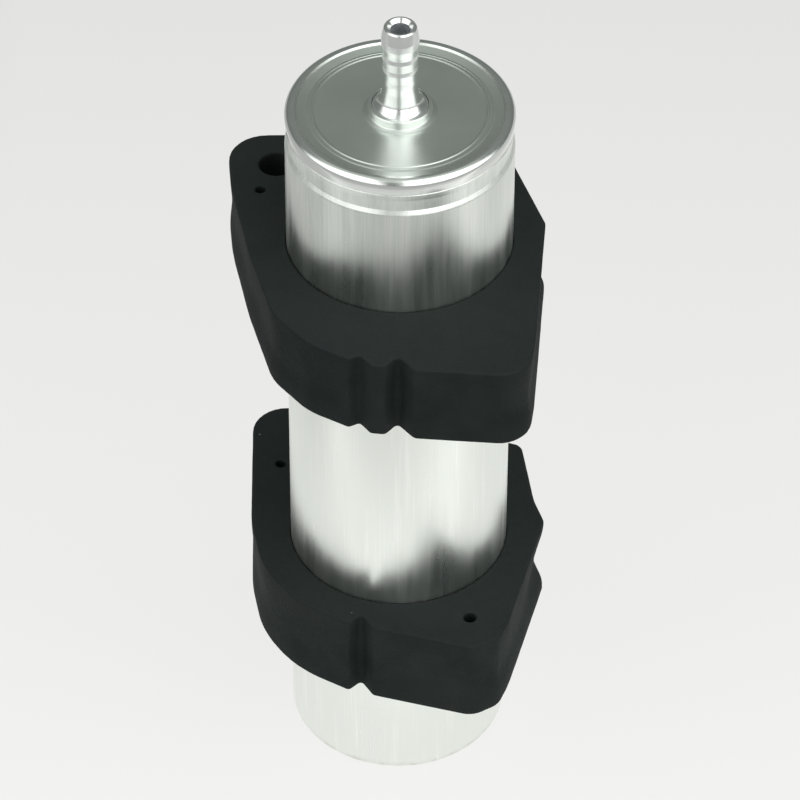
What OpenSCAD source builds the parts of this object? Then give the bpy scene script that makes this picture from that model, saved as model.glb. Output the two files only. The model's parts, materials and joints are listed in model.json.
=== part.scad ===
// Inline fuel filter: a seamed aluminium canister with one barbed hose
// nipple on top, a recessed push-in inlet in the base, a pleated paper
// element inside, and two moulded foam-rubber mounts gripping the canister.
// Millimetres. +Z is the canister's axis, z = 0 is the face it stands on.

/* [Canister] */
// Outside diameter of the drawn can
can_d = 55; // [54.6:0.1:58]
// Height of the can from its base to the crest of the rolled rim
can_h = 199.5; // [170:0.1:230]
// Wall thickness of the can
can_wall = 1; // [0.8:0.1:1.1]
// Height of the lid's flat face below the crest of the rim
lid_drop = 0.9; // [0.8:0.1:1.2]
// Radius of the rim's folded inner edge on the lid
rim_inner_r = 21.8; // [20:0.1:22.6]

/* [Outlet nipple] */
// Height of the nipple above the lid's flat face
nipple_h = 25.6; // [25:0.1:32]
// Radius of the nipple's bore
nipple_bore_r = 2.35; // [1.5:0.05:2.6]
// Radius of the nipple's plain stem
nipple_stem_r = 4.05; // [3.8:0.05:4.1]
// Radius of the smooth land below the nipple's mouth
nipple_land_r = 4.5; // [4.4:0.05:4.6]
// Radius of the three barbs
barb_r = 4.3; // [4.2:0.05:4.5]

/* [Inlet socket] */
// Radius of the inlet's bore, which a push-in connector enters
inlet_r = 7; // [6:0.1:7.4]
// Depth of the inlet's bore
inlet_depth = 15; // [12:0.5:17]

/* [Filter element] */
// Number of pleats in the paper
pleats = 36; // [24:1:48]
// Radius over the pleats
pleat_outer_r = 22.4; // [20:0.1:22.6]
// Thickness of the paper
paper_t = 0.6; // [0.4:0.1:0.8]
// Turns in the support spring
spring_turns = 4; // [3:0.5:6]

/* [Foam mounts] */
// Height of the upper mount's lower face
upper_z = 137.1; // [118:0.1:150]
// Thickness of the upper mount
upper_t = 22.2; // [15:0.1:26]
// Height of the lower mount's lower face
lower_z = 36.7; // [36:0.1:50]
// Thickness of the lower mount
lower_t = 24.4; // [15:0.1:28]
// Radial clearance between the mounts and the can
grip_gap = 0.08; // [0.02:0.01:0.1]
// Radius of the upper mount's large pipe hole
pipe_hole_r = 4.3; // [3:0.1:5]
// Depth of the small locating holes
pin_hole_depth = 8; // [4:1:12]

/* [Hidden] */

$fn = 96;
e = 0.05;                       // assembly gap between stacked pieces

R = can_d / 2;
lid_z = can_h - lid_drop;       // lid's flat face
under_z = lid_z - 1.2;          // underside of the lid sheet
cap_z = lid_z - 10.4;           // top face of the element's top cap
cap_r = 23.8;                   // outside of the element's end caps
paper_z0 = 36;                  // bottom of the paper
paper_z1 = cap_z - 4.2;         // top of the paper
floor_z = 2;                    // inside floor of the can
grip_r = R + grip_gap;

// Outlines of the foam mounts: [x, y, corner radius] going anticlockwise
// seen from above, starting at the back left lobe.
upper_corners = [
  [-43, 38.4, 9.5], [-41.4, 18, 90], [-36.6, -5.5, 80], [-30.5, -28, 16],
  [-22, -38.6, 18], [-12, -44.4, 1.2], [-9.4, -43, 0.7], [-6.8, -46.5, 1.6],
  [-3.2, -46.9, 1.6], [-0.3, -43.4, 0.8], [3.6, -48.2, 2.4],
  [30.6, -50.4, 8], [32.4, -38, 60], [35.6, 5.2, 3], [24.5, 38.4, 13]];
lower_corners = [
  [-38.3, 44.6, 9], [-37.8, 2, 40], [-34.8, -13.6, 30], [-26.6, -26.6, 34],
  [-12.4, -34.9, 1.2], [-9.3, -31.9, 0.8], [-6.4, -36.6, 1.6],
  [18.8, -43.6, 6], [25.4, -39.8, 6], [27.5, -34.6, 0.4], [28.4, -31.8, 1.2],
  [37.4, 2.2, 3], [34.9, 10, 20], [32, 30.6, 3.2], [-14, 44.6, 16]];

// Small holes in the foam: [x, y, radius]
upper_pipe_hole = [-30.3, 27, pipe_hole_r];
upper_pin_hole = [-34.1, 17.3, 1.25];
lower_pin_holes = [[18, -32.5, 1.6], [-30.5, 23.2, 1.3]];

function unit(v) = v / norm(v);
function xy(p) = [p[0], p[1]];

// One corner b between neighbours a and c, rounded to radius r in n steps.
function round_corner(a, b, c, r, n) =
  let (u = unit(a - b), v = unit(c - b), inside = acos(max(-1, min(1, u * v))),
       turn = 180 - inside)
  r <= 0 || turn < 0.5 ? [b] :
  let (reach = r / tan(inside / 2), centre = b + unit(u + v) * (r / sin(inside / 2)),
       p = b + u * reach - centre, q = b + v * reach - centre)
  [for (k = [0:n]) let (f = k / n)
     centre + (p * sin((1 - f) * turn) + q * sin(f * turn)) / sin(turn)];

// A closed outline from [x, y, radius] corners.
function rounded(pts, n = 5) = let (m = len(pts))
  [for (i = [0:m - 1])
     each round_corner(xy(pts[(i + m - 1) % m]), xy(pts[i]), xy(pts[(i + 1) % m]),
                       pts[i][2], n)];

// A turned piece from [radius, height, corner radius] corners.
module turned(pts, n = 3) rotate_extrude() polygon(rounded(pts, n));

module ring(r0, r1, z0, z1)
  rotate_extrude() polygon([[r0, z0], [r1, z0], [r1, z1], [r0, z1]]);

module housing_can() color([0.80, 0.81, 0.80])
  turned([
    // outside, from the inlet hole round the base and up the wall
    [10.05, 0.8, 0], [20.6, 0.8, 0.5], [21.6, 0, 0.6], [R, 0, 1.8],
    [R, can_h - 10.9, 3.2], [R - 0.25, can_h - 9.5, 1.2], [R - 0.64, can_h - 8.9, 0.25],
    [R - 0.56, can_h - 8, 0.2], [R - 0.42, can_h - 6, 0.6], [R - 0.16, can_h - 4.3, 0],
    [R - 0.3, can_h - 4.2, 0], [R - 0.3, can_h - 4.05, 0],
    // rolled rim and its folded edge on the lid
    [R - 0.16, can_h - 3.95, 0], [R - 0.07, can_h - 2.9, 0.5], [R - 0.02, can_h - 2.2, 0.5],
    [R - 0.02, can_h, 1.7], [R - 2.4, can_h, 0.3], [R - 2.9, can_h - 0.42, 0.2],
    [rim_inner_r + 0.3, lid_z + 0.1, 0.1], [rim_inner_r, lid_z + 0.02, 0],
    // inside, back down to the floor
    [24.3, lid_z + 0.02, 0.2], [24.5, lid_z + 0.12, 0.1],
    [R - 0.1 - can_wall, lid_z + 0.12, 0.4],
    [R - 0.1 - can_wall, can_h - 7, 0.5], [R - 0.62 - can_wall, can_h - 8.2, 0.3],
    [R - 0.62 - can_wall, can_h - 8.8, 0.3], [R - can_wall, can_h - 10.4, 0.8],
    [R - can_wall, floor_z, 1.6], [10.05, floor_z, 0]], 5);

module end_lid() color([0.62, 0.64, 0.63])
  turned([
    [6.8, lid_z + 2.5, 0.12], [7.55, lid_z + 2.45, 0.6], [7.8, lid_z + 0.5, 0.35],
    [8.9, lid_z, 0.8],
    [23.7, lid_z, 0.4], [23.9, lid_z - 1.2, 0.3], [26.3, lid_z - 1.2, 0.3],
    [26.3, can_h - 7.2, 0.3], [25.2, can_h - 7.2, 0.3],
    [25.2, lid_z - 2.4, 0.3], [22.8, lid_z - 2.4, 0.3], [22.6, under_z, 0.4],
    [7.35, under_z, 0.3], [7.12, lid_z + 1.4, 0.2], [6.8, lid_z + 1.4, 0]]);

module rim_gasket() color([0.12, 0.12, 0.13])
  ring(24.4, 26.2, lid_z - 1.2 + e, lid_z + 0.05);

// Turned nipple: tail in the canister, flange under the lid's collar,
// flared foot, three small barbs and the wide land below the mouth.
module outlet_nipple() color([0.84, 0.85, 0.84])
  turned([
    [nipple_bore_r, lid_z - 9.4, 0], [5, lid_z - 9.4, 0.5], [5, lid_z + 0.2, 0],
    [7.05, lid_z + 0.2, 0.1], [7.05, lid_z + 1.35, 0.1], [6.7, lid_z + 1.35, 0],
    [6.7, lid_z + 2.2, 0.12], [6.2, lid_z + 2.3, 0.8], [4.75, lid_z + 3.6, 3.2],
    [nipple_stem_r, lid_z + 7.6, 8], [nipple_stem_r, lid_z + 9.5, 0],
    [barb_r, lid_z + 9.75, 0.1], [nipple_stem_r + 0.05, lid_z + 12.4, 0.8],
    [nipple_stem_r + 0.05, lid_z + 13, 0], [barb_r, lid_z + 13.25, 0.1],
    [nipple_stem_r + 0.05, lid_z + 15.9, 0.8], [nipple_stem_r + 0.05, lid_z + 16.5, 0],
    [barb_r, lid_z + 16.75, 0.1], [nipple_land_r - 0.22, lid_z + 18.2, 0.8],
    [nipple_land_r, lid_z + nipple_h - 5.9, 0.6],
    [nipple_land_r, lid_z + nipple_h - 2.7, 0.8],
    [nipple_land_r - 0.25, lid_z + nipple_h - 1.6, 1.2],
    [nipple_land_r - 0.58, lid_z + nipple_h - 0.3, 0.3],
    [3.55, lid_z + nipple_h, 0.2], [3.1, lid_z + nipple_h - 0.05, 0.1],
    [nipple_bore_r, lid_z + nipple_h - 1, 0.25]], 5);

module nipple_seal() color([0.10, 0.10, 0.10])
  ring(5.08, 7.05, under_z + e, lid_z + 0.15);

module nipple_washer() color([0.72, 0.72, 0.70])
  ring(5.08, 11.5, under_z - 1.2, under_z);

module outlet_grommet() color([0.14, 0.13, 0.12])
  turned([
    [5.05, cap_z - 3.9, 0], [7.4, cap_z - 3.9, 0.5], [7.4, cap_z + e, 0],
    [9.6, cap_z + e, 0.3], [9.6, cap_z + 2.2, 0.5], [7, cap_z + 4.4, 0.5],
    [5.05, cap_z + 4.4, 0]]);

module element_top_cap() color([0.70, 0.71, 0.68])
  difference() {
    turned([
      [0, cap_z, 0], [cap_r, cap_z, 1], [cap_r, paper_z1 - 4, 0],
      [cap_r - 0.7, paper_z1 - 4, 0], [cap_r - 0.7, cap_z - 1, 0],
      [0, cap_z - 1, 0]]);
    translate([0, 0, cap_z - 2]) cylinder(r = 7.45, h = 4);
  }

module top_potting() color([0.80, 0.58, 0.20])
  ring(7.45, cap_r - 0.75, paper_z1 + e, cap_z - 1 - e);

// Star-folded paper: a zigzag sheet of constant thickness.
pleat_inner_r = 9.8;
fold_dr = paper_t * (pleat_outer_r - pleat_inner_r)
        / ((pleat_outer_r + pleat_inner_r) / 2 * sin(180 / pleats));
function star(tip, root) = [for (i = [0:2 * pleats - 1])
  let (r = i % 2 == 0 ? tip : root, a = 180 * i / pleats) [r * cos(a), r * sin(a)]];

module pleated_paper() color([0.90, 0.84, 0.68])
  translate([0, 0, paper_z0]) linear_extrude(height = paper_z1 - paper_z0)
    difference() {
      polygon(star(pleat_outer_r, pleat_inner_r + fold_dr));
      polygon(star(pleat_outer_r - fold_dr, pleat_inner_r));
    }

module pleat_bands() color([0.85, 0.75, 0.50])
  for (f = [0.25, 0.5, 0.75])
    let (z = paper_z0 + f * (paper_z1 - paper_z0))
      ring(pleat_outer_r + e, pleat_outer_r + 0.7, z - 3, z + 3);

module centre_tube() color([0.30, 0.31, 0.33])
  difference() {
    ring(7.9, 9.1, paper_z0 + e, paper_z1 - e);
    for (k = [0:8], a = [0, 90])
      translate([0, 0, paper_z0 + 14 + k * (paper_z1 - paper_z0 - 28) / 8])
        rotate(a + (k % 2) * 45) cube([24, 5, 9], center = true);
  }

module bottom_potting() color([0.80, 0.58, 0.20])
  ring(0, cap_r - 0.75, paper_z0 - 3, paper_z0 - e);

module element_bottom_cap() color([0.70, 0.71, 0.68])
  turned([
    [0, paper_z0 - 4.1, 0], [cap_r, paper_z0 - 4.1, 1], [cap_r, paper_z0 + 4, 0],
    [cap_r - 0.7, paper_z0 + 4, 0], [cap_r - 0.7, paper_z0 - 3.05, 0],
    [0, paper_z0 - 3.05, 0]]);

// Ring with four spring fingers that keeps the element central in the can.
module centring_star() color([0.68, 0.70, 0.72]) {
  difference() {
    union() {
      ring(cap_r + e, cap_r + 0.7, paper_z0 - 2, paper_z0 + 5);
      for (a = [0:90:270]) rotate(a)
        translate([cap_r + 0.2, -4, paper_z0 + 1]) cube([3, 8, 1.2]);
    }
    difference() {
      cylinder(r = R + 20, h = paper_z0 + 20);
      cylinder(r = R - can_wall - 0.1, h = paper_z0 + 20);
    }
  }
}

module spring_seat() color([0.66, 0.67, 0.66])
  turned([
    [0, paper_z0 - 4.15, 0], [14.6, paper_z0 - 4.15, 0.6],
    [14.6, paper_z0 - 7.2, 0], [13.6, paper_z0 - 7.2, 0],
    [13.6, paper_z0 - 5.15, 0.3], [0, paper_z0 - 5.15, 0]]);

// Coil spring between the socket's flange and the seat, swept along its helix.
wire_r = 0.8;
spring_r = 12;
spring_z0 = 4.55 + wire_r;
spring_z1 = paper_z0 - 5.2 - wire_r;
coil_steps = 18 * spring_turns;
coil_sides = 8;
function coil_point(k) = let (a = 360 * k / 18)
  [spring_r * cos(a), spring_r * sin(a), spring_z0 + (spring_z1 - spring_z0) * k / coil_steps];
function coil_ring(k) = let (a = 360 * k / 18, c = coil_point(k))
  [for (j = [0:coil_sides - 1]) let (b = 360 * j / coil_sides)
     c + wire_r * [cos(b) * cos(a), cos(b) * sin(a), sin(b)]];

module support_spring() color([0.55, 0.56, 0.58])
  polyhedron(
    points = [for (k = [0:coil_steps]) each coil_ring(k)],
    faces = concat(
      [[for (j = [coil_sides - 1:-1:0]) j]],
      [for (k = [0:coil_steps - 1], j = [0:coil_sides - 1])
         let (a = k * coil_sides, n = (j + 1) % coil_sides)
         [a + j, a + n, a + coil_sides + n, a + coil_sides + j]],
      [[for (j = [0:coil_sides - 1]) coil_steps * coil_sides + j]]),
    convexity = 10);

// Socket staked into the base. Fuel passes through its top to the can.
module inlet_socket() color([0.74, 0.75, 0.74])
  turned([
    [9, 0, 0], [11.5, 0, 0.3], [11.5, 0.75, 0], [10, 0.75, 0], [10, floor_z + 0.5, 0],
    [13, floor_z + 0.5, 0.3], [13, floor_z + 2.5, 0.3], [10.3, floor_z + 2.5, 0.4],
    [10.3, inlet_depth + 3, 0.8], [4, inlet_depth + 3, 0], [4, inlet_depth, 0.3],
    [inlet_r, inlet_depth, 0.4], [inlet_r, 5.6, 0], [9, 5.6, 0]]);

module socket_gasket() color([0.11, 0.11, 0.12])
  ring(10.1, 12.9, floor_z, floor_z + 0.5);

module inlet_o_ring() color([0.09, 0.09, 0.10])
  translate([0, 0, 4.6]) rotate_extrude()
    translate([(9 + inlet_r) / 2 + 0.01, 0]) circle(r = min(0.97, (9 - inlet_r) / 2 - 0.02));

module inlet_retaining_ring() color([0.88, 0.88, 0.84])
  ring(inlet_r, 8.96, 0, 3.6);

module foam_block(corners, z, t)
  translate([0, 0, z]) linear_extrude(height = t) polygon(rounded(corners, 5));

module upper_mount() color([0.12, 0.13, 0.14])
  difference() {
    foam_block(upper_corners, upper_z, upper_t);
    translate([0, 0, upper_z - 1]) cylinder(r = grip_r, h = upper_t + 2);
    translate([upper_pipe_hole[0], upper_pipe_hole[1], upper_z - 1])
      cylinder(r = upper_pipe_hole[2], h = upper_t + 2);
    translate([upper_pin_hole[0], upper_pin_hole[1], upper_z + upper_t - pin_hole_depth])
      cylinder(r = upper_pin_hole[2], h = pin_hole_depth + 1);
  }

module lower_mount() color([0.12, 0.13, 0.14])
  difference() {
    foam_block(lower_corners, lower_z, lower_t);
    translate([0, 0, lower_z - 1]) cylinder(r = grip_r, h = lower_t + 2);
    for (h = lower_pin_holes)
      translate([h[0], h[1], lower_z + lower_t - pin_hole_depth])
        cylinder(r = h[2], h = pin_hole_depth + 1);
  }

housing_can();
end_lid();
rim_gasket();
outlet_nipple();
nipple_seal();
nipple_washer();
outlet_grommet();
element_top_cap();
top_potting();
pleated_paper();
pleat_bands();
centre_tube();
bottom_potting();
element_bottom_cap();
centring_star();
spring_seat();
support_spring();
inlet_socket();
socket_gasket();
inlet_o_ring();
inlet_retaining_ring();
upper_mount();
lower_mount();
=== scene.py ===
import bpy, bmesh, json, math
from mathutils import Matrix, Vector, noise
from mathutils.bvhtree import BVHTree


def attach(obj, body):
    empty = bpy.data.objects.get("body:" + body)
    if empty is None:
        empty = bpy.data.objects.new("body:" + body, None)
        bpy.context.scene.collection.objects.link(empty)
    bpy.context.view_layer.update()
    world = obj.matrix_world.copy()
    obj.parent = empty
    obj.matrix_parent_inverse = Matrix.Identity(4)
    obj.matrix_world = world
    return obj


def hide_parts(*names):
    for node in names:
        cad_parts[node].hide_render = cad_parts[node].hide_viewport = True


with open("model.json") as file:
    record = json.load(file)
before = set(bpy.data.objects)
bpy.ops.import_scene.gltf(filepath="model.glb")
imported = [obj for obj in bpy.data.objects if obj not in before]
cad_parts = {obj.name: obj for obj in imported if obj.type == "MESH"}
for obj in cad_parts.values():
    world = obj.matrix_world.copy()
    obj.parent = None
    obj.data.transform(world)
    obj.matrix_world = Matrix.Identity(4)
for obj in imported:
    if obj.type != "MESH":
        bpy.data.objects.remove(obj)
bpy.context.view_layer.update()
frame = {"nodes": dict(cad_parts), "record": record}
scene = bpy.context.scene
NODES = frame["nodes"]
MM = 0.001
TAU = 2 * math.pi

# ------------------------------------------------------------------ camera
# Elevation 43 degrees, straight in front (-Y), a long lens.
yaw, pitch, roll = -0.000281, -0.748337, -0.0038525
turn = (Matrix.Rotation(yaw, 3, 'Z') @ Matrix.Rotation(pitch, 3, 'X')
        @ Matrix.Rotation(roll, 3, 'Y'))
right, ahead, up = (turn.col[0].copy(), turn.col[1].copy(), turn.col[2].copy())
cam_data = bpy.data.cameras.new("camera")
cam_data.sensor_fit = 'HORIZONTAL'
cam_data.sensor_width = 36.0
cam_data.lens = 225.0
cam_data.clip_start = 0.05
cam_data.clip_end = 30.0
cam = bpy.data.objects.new("camera", cam_data)
scene.collection.objects.link(cam)
m = Matrix.Identity(4)
for i in range(3):
    m[i][0], m[i][1], m[i][2] = right[i], up[i], -ahead[i]
m[0][3], m[1][3], m[2][3] = 0.0, -0.91426, 0.95399
cam.matrix_world = m
scene.camera = cam
scene.view_settings.view_transform = 'Standard'
scene.view_settings.look = 'None'
scene.view_settings.exposure = 0.0
scene.view_settings.gamma = 1.0


# ------------------------------------------------------------------ helpers
def rounded(points, n=8):
    """Closed outline from (x, y, corner radius), each corner an arc of n steps."""
    out, count = [], len(points)
    for i in range(count):
        a = Vector(points[(i - 1) % count][:2])
        b = Vector(points[i][:2])
        c = Vector(points[(i + 1) % count][:2])
        r = points[i][2]
        u, v = (a - b).normalized(), (c - b).normalized()
        inside = math.acos(max(-1.0, min(1.0, u.dot(v))))
        swing = math.pi - inside
        if r <= 0 or swing < 0.009:
            out.append((b.x, b.y))
            continue
        reach = r / math.tan(inside / 2)
        centre = b + (u + v).normalized() * (r / math.sin(inside / 2))
        p, q = b + u * reach - centre, b + v * reach - centre
        for k in range(n + 1):
            f = k / n
            w = centre + (p * math.sin((1 - f) * swing) + q * math.sin(f * swing)) / math.sin(swing)
            out.append((w.x, w.y))
    return out


def densify(points, step):
    """Adds points so that no side of the closed outline is longer than step."""
    out, count = [], len(points)
    for i in range(count):
        a, b = points[i], points[(i + 1) % count]
        d = math.hypot(b[0] - a[0], b[1] - a[1])
        if d < 1e-6:
            continue
        k = max(1, int(math.ceil(d / step)))
        for j in range(k):
            f = j / k
            out.append((a[0] + (b[0] - a[0]) * f, a[1] + (b[1] - a[1]) * f))
    return out


def new_object(name, bm, smooth=True, sharp=None):
    me = bpy.data.meshes.new(name)
    bm.normal_update()
    bm.to_mesh(me)
    bm.free()
    for p in me.polygons:
        p.use_smooth = smooth
    if sharp is not None:
        me.set_sharp_from_angle(angle=math.radians(sharp))
    me.update()
    ob = bpy.data.objects.new(name, me)
    scene.collection.objects.link(ob)
    return ob


def lathe(name, points, seg=256, wobble=None, sharp=40):
    """Turned closed ring from a closed (radius, height) outline in mm."""
    bm = bmesh.new()
    rings = []
    for s in range(seg):
        a = TAU * s / seg
        ring = []
        for r, z in points:
            if wobble:
                r, z = wobble(r, z, a)
            ring.append(bm.verts.new((r * math.cos(a) * MM, r * math.sin(a) * MM, z * MM)))
        rings.append(ring)
    n = len(points)
    for s in range(seg):
        p, q = rings[s], rings[(s + 1) % seg]
        for i in range(n):
            j = (i + 1) % n
            bm.faces.new((p[i], q[i], q[j], p[j]))
    bmesh.ops.recalc_face_normals(bm, faces=bm.faces)
    return new_object(name, bm, sharp=sharp)


# ------------------------------------------------------------------ materials
def material(name):
    mat = bpy.data.materials.new(name)
    mat.use_nodes = True
    nt = mat.node_tree
    bsdf = nt.nodes["Principled BSDF"]
    return mat, nt, bsdf


def node(nt, kind, **props):
    nd = nt.nodes.new(kind)
    for k, v in props.items():
        setattr(nd, k, v)
    return nd


def coords(nt, scale):
    tc = node(nt, "ShaderNodeTexCoord")
    mp = node(nt, "ShaderNodeMapping")
    mp.inputs["Scale"].default_value = scale
    nt.links.new(tc.outputs["Object"], mp.inputs["Vector"])
    return mp.outputs["Vector"]


def noise_tex(nt, vec, scale, detail=3.0, rough=0.5):
    nd = node(nt, "ShaderNodeTexNoise")
    nd.inputs["Scale"].default_value = scale
    nd.inputs["Detail"].default_value = detail
    nd.inputs["Roughness"].default_value = rough
    nt.links.new(vec, nd.inputs["Vector"])
    return nd.outputs["Fac"]


def ramp(nt, fac, lo, hi, a, b):
    nd = node(nt, "ShaderNodeMapRange")
    nd.inputs["From Min"].default_value = lo
    nd.inputs["From Max"].default_value = hi
    nd.inputs["To Min"].default_value = a
    nd.inputs["To Max"].default_value = b
    nt.links.new(fac, nd.inputs["Value"])
    return nd.outputs["Result"]


def mix_colour(nt, fac, a, b):
    nd = node(nt, "ShaderNodeMix", data_type='RGBA')
    nt.links.new(fac, nd.inputs["Factor"])
    if isinstance(a, (tuple, list)):
        nd.inputs["A"].default_value = (*a, 1.0)
    else:
        nt.links.new(a, nd.inputs["A"])
    nd.inputs["B"].default_value = (*b, 1.0)
    return nd.outputs["Result"]


def bump(nt, bsdf, height, strength, distance, chain=None):
    nd = node(nt, "ShaderNodeBump")
    nd.inputs["Strength"].default_value = strength
    nd.inputs["Distance"].default_value = distance
    nt.links.new(height, nd.inputs["Height"])
    if chain is not None:
        nt.links.new(chain, nd.inputs["Normal"])
    nt.links.new(nd.outputs["Normal"], bsdf.inputs["Normal"])
    return nd.outputs["Normal"]


def drawn_aluminium(name, tone, dark, rough_lo, rough_hi, streak=1.0):
    """Aluminium with fine streaks along Z, from drawing the can, and a painted reflection that lightens the can below
    the upper mount.
    """
    mat, nt, b = material(name)
    b.inputs["Metallic"].default_value = 1.0
    fine = noise_tex(nt, coords(nt, (1.0, 1.0, 0.012)), 2600.0, 4.0, 0.6)
    wide = noise_tex(nt, coords(nt, (1.0, 1.0, 0.05)), 420.0, 3.0, 0.55)
    cloud = noise_tex(nt, coords(nt, (1.0, 1.0, 0.4)), 70.0, 3.0, 0.5)
    add = node(nt, "ShaderNodeMath", operation='MULTIPLY_ADD')
    nt.links.new(wide, add.inputs[0])
    add.inputs[1].default_value = 0.55
    half = node(nt, "ShaderNodeMath", operation='MULTIPLY')
    nt.links.new(fine, half.inputs[0])
    half.inputs[1].default_value = 0.45
    nt.links.new(half.outputs[0], add.inputs[2])
    # painted reflection: below Z 0.135 m the colour is lifted towards the light tone, standing in for the bright floor
    # the lower can reflects, so the dark streaks show fully only near the top. The base's edge is darker and brownish
    # in noisy patches.
    plain = coords(nt, (1.0, 1.0, 1.0))
    split = node(nt, "ShaderNodeSeparateXYZ")
    nt.links.new(plain, split.inputs[0])
    marks_and_painted_reflection = node(nt, "ShaderNodeMath", operation='MAXIMUM')
    nt.links.new(ramp(nt, add.outputs[0], 0.36, 0.62, 0.0, 1.0), marks_and_painted_reflection.inputs[0])
    nt.links.new(ramp(nt, split.outputs["Z"], 0.135, 0.185, 0.62, 0.0), marks_and_painted_reflection.inputs[1])
    metal = mix_colour(nt, marks_and_painted_reflection.outputs[0], dark, tone)
    # darker brownish noisy patches along the base's edge, from 0.5 to 2.6 mm up
    base_edge_darkening = node(nt, "ShaderNodeMath", operation='MULTIPLY')
    nt.links.new(ramp(nt, split.outputs["Z"], 0.0005, 0.0026, 0.6, 0.0), base_edge_darkening.inputs[0])
    nt.links.new(ramp(nt, noise_tex(nt, plain, 330.0, 4.0, 0.6), 0.42, 0.62, 0.1, 1.0), base_edge_darkening.inputs[1])
    nt.links.new(mix_colour(nt, base_edge_darkening.outputs[0], metal, (0.42, 0.36, 0.27)), b.inputs["Base Color"])
    mixr = node(nt, "ShaderNodeMath", operation='MULTIPLY_ADD')
    nt.links.new(ramp(nt, wide, 0.3, 0.7, -0.5, 0.5), mixr.inputs[0])
    mixr.inputs[1].default_value = (rough_hi - rough_lo) * 0.7
    nt.links.new(ramp(nt, cloud, 0.3, 0.7, rough_lo, rough_hi), mixr.inputs[2])
    nt.links.new(mixr.outputs[0], b.inputs["Roughness"])
    bump(nt, b, add.outputs[0], 0.20 * streak, 0.00008)
    return mat


def plain_metal(name, tone, dark, rough_lo, rough_hi, scale=900.0, stretch=(1, 1, 1), depth=0.00003,
                strength=0.15):
    mat, nt, b = material(name)
    b.inputs["Metallic"].default_value = 1.0
    v = coords(nt, stretch)
    fine = noise_tex(nt, v, scale, 4.0, 0.6)
    cloud = noise_tex(nt, coords(nt, (1, 1, 1)), 90.0, 3.0, 0.5)
    nt.links.new(mix_colour(nt, ramp(nt, cloud, 0.3, 0.7, 0.0, 1.0), dark, tone), b.inputs["Base Color"])
    nt.links.new(ramp(nt, fine, 0.3, 0.7, rough_lo, rough_hi), b.inputs["Roughness"])
    bump(nt, b, fine, strength, depth)
    return mat


def foam_rubber(name):
    """Moulded closed-cell foam with a skin: near black, matte, finely pitted, a little dust, with painted light on the
    faces that look up.
    """
    mat, nt, b = material(name)
    v = coords(nt, (1, 1, 1))
    cells = node(nt, "ShaderNodeTexVoronoi")
    cells.inputs["Scale"].default_value = 1500.0
    nt.links.new(v, cells.inputs["Vector"])
    grain = noise_tex(nt, v, 2200.0, 3.0, 0.6)
    mottle = noise_tex(nt, v, 120.0, 4.0, 0.6)
    broad = noise_tex(nt, v, 30.0, 2.0, 0.5)
    walls = mix_colour(nt, ramp(nt, mottle, 0.35, 0.7, 0.0, 1.0), (0.0090, 0.0134, 0.0130), (0.0138, 0.0190, 0.0178))
    # painted light: faces that look up are mixed towards a lighter colour, patchy with the mottle, standing in for the
    # light falling on the tops
    geo = node(nt, "ShaderNodeNewGeometry")
    sep = node(nt, "ShaderNodeSeparateXYZ")
    nt.links.new(geo.outputs["Normal"], sep.inputs[0])
    painted_top_light = node(nt, "ShaderNodeMath", operation='MULTIPLY')
    nt.links.new(ramp(nt, sep.outputs["Z"], 0.2, 0.95, 0.0, 1.0), painted_top_light.inputs[0])
    nt.links.new(ramp(nt, mottle, 0.3, 0.7, 0.75, 1.0), painted_top_light.inputs[1])
    top_lit_colour = mix_colour(nt, painted_top_light.outputs[0], walls, (0.0215, 0.0270, 0.0262))
    warm = mix_colour(nt, ramp(nt, broad, 0.4, 0.65, 0.0, 0.35), top_lit_colour, (0.020, 0.021, 0.0195))
    # sparse specks
    dust = node(nt, "ShaderNodeTexVoronoi")
    dust.inputs["Scale"].default_value = 70.0
    nt.links.new(v, dust.inputs["Vector"])
    speck = node(nt, "ShaderNodeMath", operation='MULTIPLY')
    nt.links.new(ramp(nt, dust.outputs["Distance"], 0.014, 0.022, 1.0, 0.0), speck.inputs[0])
    speck.inputs[1].default_value = 0.4
    nt.links.new(mix_colour(nt, speck.outputs[0], warm, (0.30, 0.29, 0.27)), b.inputs["Base Color"])
    nt.links.new(ramp(nt, grain, 0.3, 0.7, 0.66, 0.88), b.inputs["Roughness"])
    b.inputs["Specular IOR Level"].default_value = 0.12
    first = bump(nt, b, cells.outputs["Distance"], 0.35, 0.00012)
    bump(nt, b, mottle, 0.25, 0.0006, first)
    return mat


def matte(name, tone, dark, rough=0.6, scale=600.0, depth=0.00005, strength=0.2, spec=0.4):
    mat, nt, b = material(name)
    v = coords(nt, (1, 1, 1))
    fine = noise_tex(nt, v, scale, 3.0, 0.6)
    cloud = noise_tex(nt, v, 110.0, 3.0, 0.5)
    nt.links.new(mix_colour(nt, ramp(nt, cloud, 0.3, 0.7, 0.0, 1.0), dark, tone), b.inputs["Base Color"])
    nt.links.new(ramp(nt, fine, 0.3, 0.7, rough - 0.08, rough + 0.08), b.inputs["Roughness"])
    b.inputs["Specular IOR Level"].default_value = spec
    bump(nt, b, fine, strength, depth)
    return mat


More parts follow.
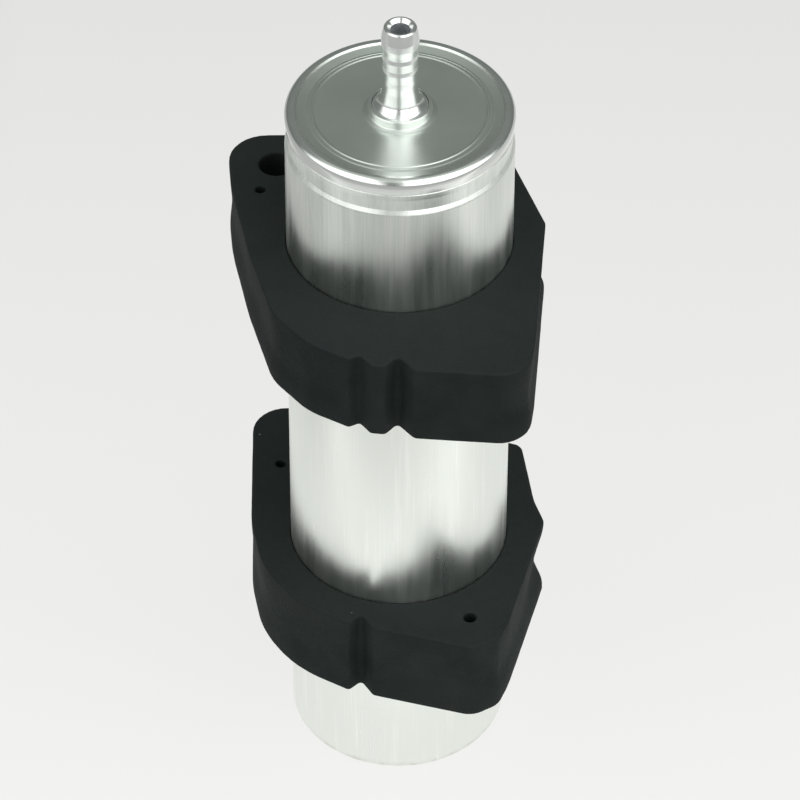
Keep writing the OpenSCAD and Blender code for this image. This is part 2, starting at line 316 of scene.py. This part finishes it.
can_mat = drawn_aluminium("can_aluminium", (0.925, 0.955, 0.91), (0.745, 0.785, 0.745), 0.27, 0.38)
rim_mat = plain_metal("rim_aluminium", (0.88, 0.905, 0.88), (0.81, 0.835, 0.81), 0.15, 0.22, 700.0, strength=0.08)
lid_mat = plain_metal("lid_aluminium", (0.785, 0.825, 0.785), (0.725, 0.765, 0.725), 0.29, 0.35, 1400.0, strength=0.05)
nipple_mat = plain_metal("nipple_aluminium", (0.94, 0.955, 0.945), (0.90, 0.915, 0.905), 0.20, 0.23, 1200.0,
                         (1, 1, 6), strength=0.015)
bore_mat = plain_metal("bore_aluminium", (0.80, 0.82, 0.85), (0.70, 0.72, 0.75), 0.45, 0.60, 900.0)
socket_mat = plain_metal("socket_aluminium", (0.84, 0.85, 0.84), (0.76, 0.77, 0.76), 0.18, 0.28, 900.0)
foam_mat = foam_rubber("foam_rubber")
seal_mat = matte("black_seal", (0.022, 0.022, 0.024), (0.014, 0.014, 0.016), 0.55)
oring_mat = matte("o_ring_rubber", (0.018, 0.018, 0.020), (0.012, 0.012, 0.014), 0.38)
zinc_mat = plain_metal("zinc_steel", (0.74, 0.75, 0.74), (0.62, 0.63, 0.62), 0.28, 0.42, 500.0)
spring_mat = plain_metal("spring_steel", (0.46, 0.47, 0.49), (0.36, 0.37, 0.39), 0.22, 0.36, 900.0)
tin_mat = plain_metal("tinned_steel", (0.76, 0.77, 0.73), (0.66, 0.67, 0.63), 0.26, 0.40, 400.0)
resin_mat = matte("potting_resin", (0.55, 0.29, 0.06), (0.42, 0.20, 0.04), 0.35, 300.0)
paper_mat = matte("filter_paper", (0.78, 0.66, 0.40), (0.68, 0.55, 0.30), 0.85, 2200.0, 0.00015, 0.5, 0.2)
glue_mat = matte("glue_band", (0.74, 0.62, 0.34), (0.62, 0.50, 0.26), 0.4, 300.0)
nylon_mat = matte("grey_nylon", (0.09, 0.09, 0.10), (0.06, 0.06, 0.07), 0.5, 800.0)
white_mat = matte("white_nylon", (0.72, 0.72, 0.68), (0.64, 0.64, 0.60), 0.45, 800.0)

SLOT_MATERIALS = {
    "can_aluminium": can_mat, "lid_aluminium": lid_mat, "nipple_aluminium": nipple_mat,
    "socket_aluminium": socket_mat, "foam_rubber": foam_mat, "black_seal": seal_mat,
    "o_ring_rubber": oring_mat, "zinc_steel": zinc_mat, "spring_steel": spring_mat,
    "tinned_steel": tin_mat, "potting_resin": resin_mat, "filter_paper": paper_mat,
    "glue_band": glue_mat, "grey_nylon": nylon_mat, "white_nylon": white_mat,
}
slots = {s["node"]: s["material_slot"] for s in frame["record"]["subparts"]}
for name, ob in NODES.items():
    if ob.type != 'MESH':
        continue
    mat = SLOT_MATERIALS[slots[name]]
    if len(ob.material_slots) == 0:
        ob.data.materials.append(mat)
    for s in ob.material_slots:
        s.material = mat

# ------------------------------------------------------------------ canister
CAN_H, LID = 199.5, 198.6
R = 27.5


def front_angle(a):
    """Degrees from the front (-Y), positive to +X, for a polar angle."""
    d = math.degrees(a) + 90.0
    return (d + 180.0) % 360.0 - 180.0


def bell(x, centre, width):
    return math.exp(-((x - centre) / width) ** 2)


def can_wobble(r, z, a):
    """The fold and the rolled rim aren't perfectly round."""
    f = front_angle(a)
    if z > 196.0 and 21.0 < r < 24.7:
        k = min(1.0, (24.7 - r) / 2.2)
        r += k * (0.16 * bell(f, 65, 45) + 0.05 * math.sin(3 * a + 0.7) + 0.03 * math.sin(7 * a + 2.0))
        if r < 23.0:
            z += 0.09 * max(0.0, 1 - ((r - 22.1) / 0.55) ** 2) * (bell(f, 20, 60) + bell(f, -35, 35))
    if z > 190.0 and r > 26.0:
        r += 0.012 * math.sin(3 * a + 1.0) + 0.008 * math.sin(11 * a)
    return r, z


can_outline = rounded([
    (10.05, 0.8, 0), (20.6, 0.8, 0.5), (21.6, 0, 0.6), (R, 0, 1.8),
    (R, 189.2, 1.2), (R - 0.64, 190.45, 0.2),
    (R - 0.56, 191.5, 0.2), (R - 0.42, 193.5, 0.6), (R - 0.16, 195.2, 0.2), (R - 0.30, 195.3, 0.03), (R - 0.30, 195.45, 0.03),
    (R - 0.16, 195.55, 0.05), (R - 0.07, 196.6, 0.5), (R - 0.02, 197.3, 0.5), (R - 0.02, CAN_H, 1.7),
    (25.1, CAN_H, 0.30), (24.6, CAN_H - 0.42, 0.22),
    (22.45, 198.66, 0.3), (22.25, 198.68, 0.1), (22.1, 198.70, 0.1), (21.95, 198.70, 0.08), (21.82, 198.62, 0.02),
    (24.3, 198.62, 0.15), (24.5, 198.72, 0.08), (26.2, 198.6, 0.35),
    (26.4, 192.6, 0.4), (25.88, 191.3, 0.3), (25.88, 190.7, 0.3), (26.5, 189.1, 0.8),
    (26.5, 2.0, 1.6), (10.05, 2.0, 0)], 10)
can = lathe("can_shell", can_outline, 360, can_wobble, 50)
can.data.materials.append(can_mat)
can.data.materials.append(rim_mat)
can.data.materials.append(lid_mat)
for p in can.data.polygons:
    c = p.center
    if c.z > 0.1954 or (c.z > 0.1905 and math.hypot(c.x, c.y) < 0.0266 and math.hypot(c.x, c.y) > 0.0262):
        p.material_index = 2 if math.hypot(c.x, c.y) < 0.0249 else 1
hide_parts("housing_can")
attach(can, "canister")

def lid_wobble(r, z, a):
    """The pressed step near the fold is slightly off centre."""
    if 20.3 < r < 21.9 and z > LID - 0.5:
        r += -0.30 * math.cos(math.radians(front_angle(a))) - 0.12
    return r, z


lid = lathe("lid_plate", rounded([
    (6.8, LID + 2.5, 0.12), (7.55, LID + 2.45, 0.6), (7.8, LID + 0.5, 0.35), (8.9, LID, 0.8),
    (20.6, LID, 0.3), (20.95, LID + 0.17, 0.2), (21.2, LID + 0.17, 0.2), (21.5, LID, 0.2),
    (23.7, LID, 0.4), (23.9, LID - 1.2, 0.3), (26.3, LID - 1.2, 0.3),
    (26.3, CAN_H - 7.2, 0.3), (25.2, CAN_H - 7.2, 0.3),
    (25.2, LID - 2.4, 0.3), (22.8, LID - 2.4, 0.3), (22.6, LID - 1.2, 0.4),
    (7.35, LID - 1.2, 0.3), (7.12, LID + 1.4, 0.2), (6.8, LID + 1.4, 0)], 8), 288, lid_wobble, 50)
lid.data.materials.append(lid_mat)
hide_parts("end_lid")
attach(lid, "canister")

NH = 25.6
nipple = lathe("nipple_body", rounded([
    (2.35, LID - 9.4, 0.2), (5, LID - 9.4, 0.5), (5, LID + 0.2, 0),
    (7.05, LID + 0.2, 0.1), (7.05, LID + 1.35, 0.1), (6.7, LID + 1.35, 0),
    (6.7, LID + 2.2, 0.12), (6.2, LID + 2.3, 0.8), (4.75, LID + 3.6, 3.2),
    (4.08, LID + 7.6, 10), (4.05, LID + 9.5, 0.15),
    (4.22, LID + 9.75, 0.1), (4.11, LID + 11.0, 1.5),
    (4.10, LID + 13.0, 0.1), (4.27, LID + 13.25, 0.1),
    (4.13, LID + 14.4, 1.2), (4.12, LID + 16.5, 0.1),
    (4.30, LID + 16.75, 0.1), (4.15, LID + 17.9, 1.2), (4.24, LID + 18.9, 2),
    (4.50, LID + 20.5, 3), (4.53, LID + NH - 3.2, 2.0),
    (4.27, LID + NH - 1.7, 1.5), (3.92, LID + NH - 0.3, 0.35), (3.55, LID + NH, 0.25),
    (3.1, LID + NH - 0.05, 0.15), (2.35, LID + NH - 1.0, 0.25)], 8), 144, None, 50)
nipple.data.materials.append(nipple_mat)
nipple.data.materials.append(bore_mat)
for p in nipple.data.polygons:
    c = p.center
    if math.hypot(c.x, c.y) < 0.0024 and c.z < (LID + NH - 1.1) * MM:
        p.material_index = 1
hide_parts("outlet_nipple")
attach(nipple, "canister")

# ------------------------------------------------------------------ foam mounts
UPPER = [(-43, 38.4, 9.5), (-41.4, 18, 90), (-36.6, -5.5, 80), (-30.5, -28, 16),
         (-22, -38.6, 18), (-12, -44.4, 1.2), (-9.4, -43, 0.7), (-6.8, -46.5, 1.6),
         (-3.2, -46.9, 1.6), (-0.3, -43.4, 0.8), (3.6, -48.2, 2.4),
         (30.6, -50.4, 8), (32.4, -38, 60), (35.6, 5.2, 3), (24.5, 38.4, 13)]
LOWER = [(-38.3, 44.6, 9), (-37.8, 2, 40), (-34.8, -13.6, 30), (-26.6, -26.6, 34),
         (-12.4, -34.9, 1.2), (-9.3, -31.9, 0.8), (-6.4, -36.6, 1.6),
         (18.8, -43.6, 6), (25.4, -39.8, 6), (27.5, -34.6, 0.4), (28.4, -31.8, 1.2),
         (37.4, 2.2, 3), (34.9, 10, 20), (32, 30.6, 3.2), (-14, 44.6, 16)]


def foam(name, corners, z0, thick, through, blind, waist, seed):
    """A moulded block: waisted wall, soft edges, bore for the can and small holes.
    waist(nx, ny, x, y) is how deep the wall's waist is where it faces (nx, ny), mm."""
    outline = densify(rounded(corners, 8), 0.6)
    n = len(outline)
    area = sum(outline[i][0] * outline[(i + 1) % n][1] - outline[(i + 1) % n][0] * outline[i][1]
               for i in range(n))
    sign = 1.0 if area > 0 else -1.0
    inward = []
    for i in range(n):
        a, b = outline[i - 1], outline[(i + 1) % n]
        t = Vector((b[0] - a[0], b[1] - a[1])).normalized()
        inward.append((-t.y * sign, t.x * sign))
    deep = [waist(-inward[i][0], -inward[i][1], *outline[i]) for i in range(n)]
    top_in = 0.10
    e1, e2 = 0.5, 0.4
    rows = []      # (down from the top face, fixed inset, share of the waist)
    for k in range(6):
        q = math.pi / 2 * k / 5
        rows.append((e1 * (1 - math.cos(q)), top_in + e1 * (1 - math.sin(q)), 0.0))
    for k in range(1, 24):
        f = k / 24
        if f < 0.58:
            share = 0.5 - 0.5 * math.cos(math.pi * f / 0.58)
        else:
            share = 0.5 + 0.5 * math.cos(math.pi * (f - 0.58) / 0.36) if f < 0.94 else 0.0
        d = e1 + (thick - e1 - e2) * f
        rows.append((d, top_in * (1 - f), share))
    for k in range(6):
        q = math.pi / 2 * k / 5
        rows.append((thick - e2 * (1 - math.sin(q)), e2 * (1 - math.cos(q)), 0.0))
    bm = bmesh.new()
    loops = []
    for down, inset, share in rows:
        loops.append([bm.verts.new(((outline[i][0] + inward[i][0] * (inset + share * deep[i])) * MM,
                                    (outline[i][1] + inward[i][1] * (inset + share * deep[i])) * MM,
                                    (z0 + thick - down) * MM)) for i in range(n)])
    for a, b in zip(loops, loops[1:]):
        for i in range(n):
            j = (i + 1) % n
            bm.faces.new((a[i], b[i], b[j], a[j]))

    def circle(x, y, r, z, k):
        return [bm.verts.new(((x + r * math.cos(TAU * i / k)) * MM, (y + r * math.sin(TAU * i / k)) * MM, z * MM))
                for i in range(k)]

    def skin(levels, x, y, k):
        rings = [circle(x, y, r, z, k) for r, z in levels]
        for a, b in zip(rings, rings[1:]):
            for i in range(k):
                j = (i + 1) % k
                bm.faces.new((a[i], a[j], b[j], b[i]))
        return rings

    top, low = [loops[0]], [loops[-1]]
    z1 = z0 + thick
    bore = skin([(27.85, z1), (27.7, z1 - 0.06), (27.62, z1 - 0.25), (27.62, z0 + 0.5), (27.9, z0 + 0.12), (28.25, z0)],
                0, 0, 192)
    top.append(bore[0])
    low.append(bore[-1])
    for x, y, r in through:
        h = skin([(r + 0.5, z1), (r + 0.15, z1 - 0.15), (r, z1 - 0.5), (r, z0 + 0.5), (r + 0.15, z0 + 0.15), (r + 0.5, z0)],
                 x, y, 48)
        top.append(h[0])
        low.append(h[-1])
    for x, y, r, d in blind:
        h = skin([(r + 0.3, z1), (r + 0.08, z1 - 0.1), (r, z1 - 0.35), (r, z1 - d)], x, y, 28)
        top.append(h[0])
        bm.faces.new(h[-1])
    for group in (top, low):
        edges = []
        for lp in group:
            k = len(lp)
            for i in range(k):
                edges.append(bm.edges.get((lp[i], lp[(i + 1) % k])))
        bmesh.ops.triangle_fill(bm, use_beauty=True, use_dissolve=False, edges=edges)
    bmesh.ops.recalc_face_normals(bm, faces=bm.faces)
    bm.verts.ensure_lookup_table()
    true_shape = BVHTree.FromBMesh(bm)
    ob = new_object(name, bm)
    rm = ob.modifiers.new("even", 'REMESH')
    rm.mode = 'VOXEL'
    rm.voxel_size = 0.42 * MM
    rm.adaptivity = 0.0
    dg = bpy.context.evaluated_depsgraph_get()
    me = bpy.data.meshes.new_from_object(ob.evaluated_get(dg))
    ob.modifiers.clear()
    old = ob.data
    ob.data = me
    bpy.data.meshes.remove(old)
    # back onto the true shape, then a gently uneven skin
    bm = bmesh.new()
    bm.from_mesh(ob.data)
    bmesh.ops.smooth_vert(bm, verts=bm.verts, factor=0.5, use_axis_x=True, use_axis_y=True, use_axis_z=True)
    for v in bm.verts:
        hit = true_shape.find_nearest(v.co)
        if hit[0] is not None:
            v.co = hit[0]
    bmesh.ops.smooth_vert(bm, verts=bm.verts, factor=0.3, use_axis_x=True, use_axis_y=True, use_axis_z=True)
    bm.normal_update()
    lo_z, hi_z = z0 * MM, z1 * MM
    for v in bm.verts:
        r = math.hypot(v.co.x, v.co.y)
        nrm = v.normal
        if r < 0.0279:
            k = 0.02762 / r
            if abs(nrm.z) < 0.5:
                v.co.x *= k
                v.co.y *= k
            continue
        w = 0.09 * noise.noise(v.co * 60 + Vector((seed, 0, 0))) + 0.035 * noise.noise(v.co * 300 + Vector((0, seed, 0)))
        v.co -= nrm * (abs(w) * MM)
        v.co.z = max(lo_z, min(hi_z, v.co.z))
    bm.to_mesh(ob.data)
    bm.free()
    for p in ob.data.polygons:
        p.use_smooth = True
    ob.data.materials.clear()
    ob.data.materials.append(foam_mat)
    return ob


def upper_waist(nx, ny, x, y):
    return 0.55 + 1.5 * math.exp(-((x - 35.6) ** 2 + (y - 5.2) ** 2) / 14.0 ** 2) + 0.15 * max(0.0, nx)


def lower_waist(nx, ny, x, y):
    return 0.55 + 1.6 * math.exp(-((x - 37.4) ** 2 + (y - 2.2) ** 2) / 12.0 ** 2) + 0.15 * max(0.0, nx)


upper = foam("upper_foam_mount", UPPER, 137.1, 22.2, [(-30.3, 27, 4.3)], [(-34.1, 17.3, 1.25, 8)], upper_waist, 3.0)
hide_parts("upper_mount")
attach(upper, "upper_mount_body")
lower = foam("lower_foam_mount", LOWER, 36.7, 24.4, [], [(18, -32.5, 1.6, 8), (-30.5, 23.2, 1.3, 8)], lower_waist, 9.0)
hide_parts("lower_mount")
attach(lower, "lower_mount_body")

# ------------------------------------------------------------------ stage
bm = bmesh.new()
half = 9.0
vs = [bm.verts.new(p) for p in ((-half, -half, 0), (half, -half, 0), (half, half, 0), (-half, half, 0))]
bm.faces.new(vs)
floor = new_object("floor", bm, smooth=False)
BACK_NEAR, BACK_FAR = 0.805, 0.68
FRONT_NEAR, FRONT_FAR = 0.90, 0.36
mat, nt, b = material("pale_floor")
b.inputs["Roughness"].default_value = 0.9
b.inputs["Specular IOR Level"].default_value = 0.0


def math_node(nt, op, a, b=None, c=None):
    nd = node(nt, "ShaderNodeMath", operation=op)
    for i, v in enumerate((a, b, c)):
        if v is None:
            continue
        if isinstance(v, (int, float)):
            nd.inputs[i].default_value = v
        else:
            nt.links.new(v, nd.inputs[i])
    return nd.outputs[0]


def smooth(nt, fac, lo, hi, a, b):
    nd = node(nt, "ShaderNodeMapRange", interpolation_type='SMOOTHSTEP')
    nd.inputs["From Min"].default_value = lo
    nd.inputs["From Max"].default_value = hi
    nd.inputs["To Min"].default_value = a
    nd.inputs["To Max"].default_value = b
    nt.links.new(fac, nd.inputs["Value"])
    return nd.outputs["Result"]


def hypot(nt, a, b):
    return math_node(nt, 'SQRT', math_node(nt, 'ADD', math_node(nt, 'MULTIPLY', a, a), math_node(nt, 'MULTIPLY', b, b)))


sep = node(nt, "ShaderNodeSeparateXYZ")
tc = node(nt, "ShaderNodeTexCoord")
nt.links.new(tc.outputs["Object"], sep.inputs[0])
X, Y = sep.outputs["X"], sep.outputs["Y"]
# painted pool of light: the floor glows, fading slowly behind the object and darker to its left and right there,
# brighter close round its front and fading over a shorter distance
behind = math_node(nt, 'MULTIPLY', ramp(nt, Y, -0.04, 0.294, BACK_NEAR, BACK_FAR),
                   math_node(nt, 'MULTIPLY', smooth(nt, X, -0.20, -0.112, 0.52, 1.0), smooth(nt, X, 0.12, 0.28, 1.0, 0.68)))
dist = hypot(nt, math_node(nt, 'SUBTRACT', X, 0.10), math_node(nt, 'MULTIPLY', Y, 1.5))
front = math_node(nt, 'ADD', smooth(nt, dist, 0.10, 0.50, FRONT_NEAR, FRONT_FAR),
                  smooth(nt, Y, -0.13, -0.06, 0.0, 0.22))
which = smooth(nt, Y, -0.082, -0.041, 1.0, 0.0)
glow = math_node(nt, 'ADD', math_node(nt, 'MULTIPLY', behind, math_node(nt, 'SUBTRACT', 1.0, which)),
                 math_node(nt, 'MULTIPLY', front, which))
mx = node(nt, "ShaderNodeCombineColor")
nt.links.new(glow, mx.inputs[0])
nt.links.new(glow, mx.inputs[1])
nt.links.new(math_node(nt, 'MULTIPLY', glow, 0.982), mx.inputs[2])
# the floor's light is painted: a dark base colour, with the pool as its emission
b.inputs["Base Color"].default_value = (0.10, 0.10, 0.10, 1.0)
nt.links.new(mx.outputs[0], b.inputs["Emission Color"])
b.inputs["Emission Strength"].default_value = 1.0
floor.data.materials.append(mat)

# ------------------------------------------------------------------ light
world = bpy.data.worlds.new("studio")
scene.world = world
world.use_nodes = True
nt = world.node_tree
nt.nodes.clear()
out = node(nt, "ShaderNodeOutputWorld")
bg = node(nt, "ShaderNodeBackground")
tc = node(nt, "ShaderNodeTexCoord")
nt.links.new(bg.outputs[0], out.inputs[0])


sepw = node(nt, "ShaderNodeSeparateXYZ")
nt.links.new(tc.outputs["Generated"], sepw.inputs[0])
SX, SY, SZ = sepw.outputs["X"], sepw.outputs["Y"], sepw.outputs["Z"]
# two large soft boxes, front left and front right, with a gap between them
sides = math_node(nt, 'ADD', smooth(nt, SX, 0.0, 0.12, 0.0, 1.0), smooth(nt, SX, -0.31, -0.19, 0.8, 0.0))
boxes = math_node(nt, 'MULTIPLY', sides,
                  math_node(nt, 'MULTIPLY', smooth(nt, SY, -0.14, 0.22, 1.0, 0.0), smooth(nt, SZ, -0.02, 0.12, 0.0, 1.0)))
# the ceiling is lighter straight above
room = math_node(nt, 'ADD', smooth(nt, SZ, -0.1, 0.9, 0.16, 0.22), smooth(nt, SZ, 0.76, 0.88, 0.0, 0.30))
tint = node(nt, "ShaderNodeCombineColor")
for i, k in enumerate((0.95, 1.02, 0.96)):
    nt.links.new(math_node(nt, 'MULTIPLY_ADD', room, k, math_node(nt, 'MULTIPLY', boxes, 1.6)), tint.inputs[i])
nt.links.new(tint.outputs[0], bg.inputs["Color"])
bg.inputs["Strength"].default_value = 1.0
